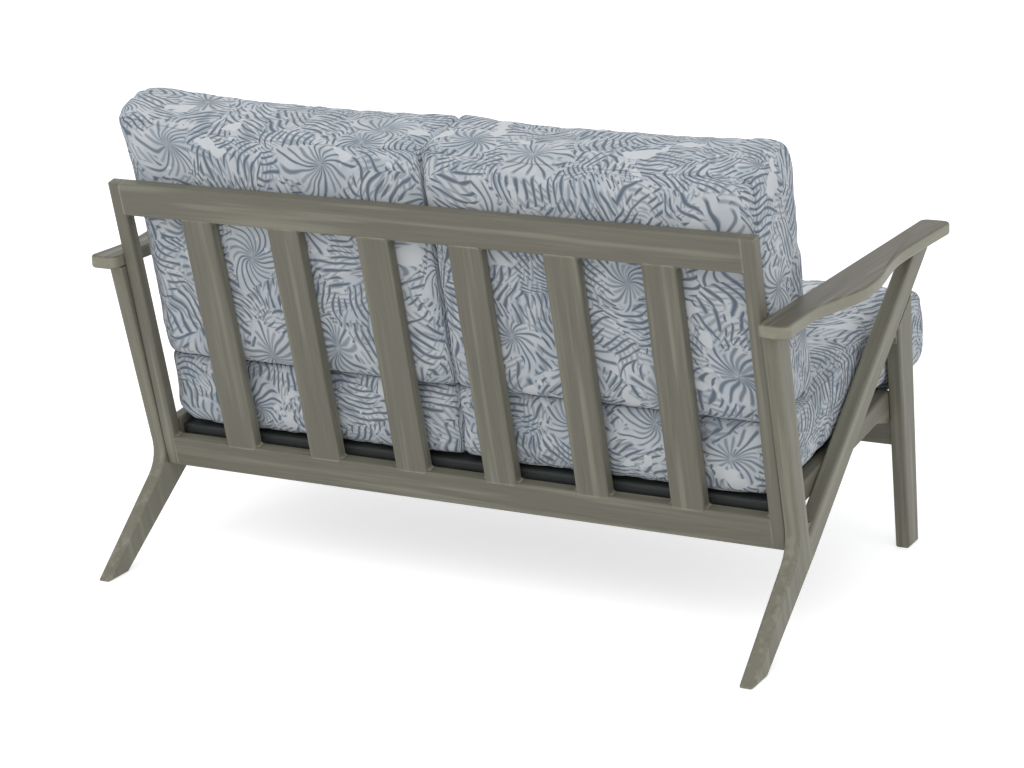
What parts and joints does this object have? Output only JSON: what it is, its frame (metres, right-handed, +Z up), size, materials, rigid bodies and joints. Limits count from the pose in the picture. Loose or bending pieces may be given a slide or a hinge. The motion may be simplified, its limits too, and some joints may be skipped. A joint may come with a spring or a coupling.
{
  "type": "two-seat sofa",
  "caption": "Two-seat wooden sofa with a slatted reclined back, boomerang rear legs, diagonal arm braces, level arms and loose seat and back cushions.",
  "frame": {"origin": "middle of the sofa's footprint box at floor level, with the cushions in place", "axes": "+Z up, -Y to the front where the sitter faces, +X to the sitter's left"},
  "size_m": [1.4536, 0.9224, 0.8833],
  "materials": {
    "frame": "taupe paint, satin",
    "sling": "black woven",
    "cushion": "pale woven cloth with a printed leaf line pattern"
  },
  "bodies": {
    "frame": {"rear_leg_left": "frame", "rear_leg_right": "frame", "front_leg_left": "frame", "front_leg_right": "frame", "brace_left": "frame", "brace_right": "frame", "arm_left": "frame", "arm_right": "frame", "side_rail_left": "frame", "side_rail_right": "frame", "back_top_rail": "frame", "back_bottom_rail": "frame", "back_stile_left": "frame", "back_stile_right": "frame", "back_slat_1": "frame", "back_slat_2": "frame", "back_slat_3": "frame", "back_slat_4": "frame", "back_slat_5": "frame", "back_slat_6": "frame", "front_rail": "frame", "rear_batten": "frame", "middle_batten_1": "frame", "middle_batten_2": "frame", "centre_bearer": "frame", "seat_sling": "sling"},
    "seat_left": {"seat_cushion_left": "cushion"},
    "seat_right": {"seat_cushion_right": "cushion"},
    "back_left": {"back_cushion_left": "cushion"},
    "back_right": {"back_cushion_right": "cushion"}
  },
  "joints": [
    {"name": "seat_left_slide", "type": "slide", "parent": "frame", "child": "seat_left", "axis": [0, -0.9936, 0.1132], "range_m": [0, 0.5]},
    {"name": "seat_right_slide", "type": "slide", "parent": "frame", "child": "seat_right", "axis": [0, -0.9936, 0.1132], "range_m": [0, 0.5]},
    {"name": "back_left_lift", "type": "slide", "parent": "frame", "child": "back_left", "axis": [0, 0.2122, 0.9772], "range_m": [0, 0.38]},
    {"name": "back_right_lift", "type": "slide", "parent": "frame", "child": "back_right", "axis": [0, 0.2122, 0.9772], "range_m": [0, 0.38]}
  ]
}
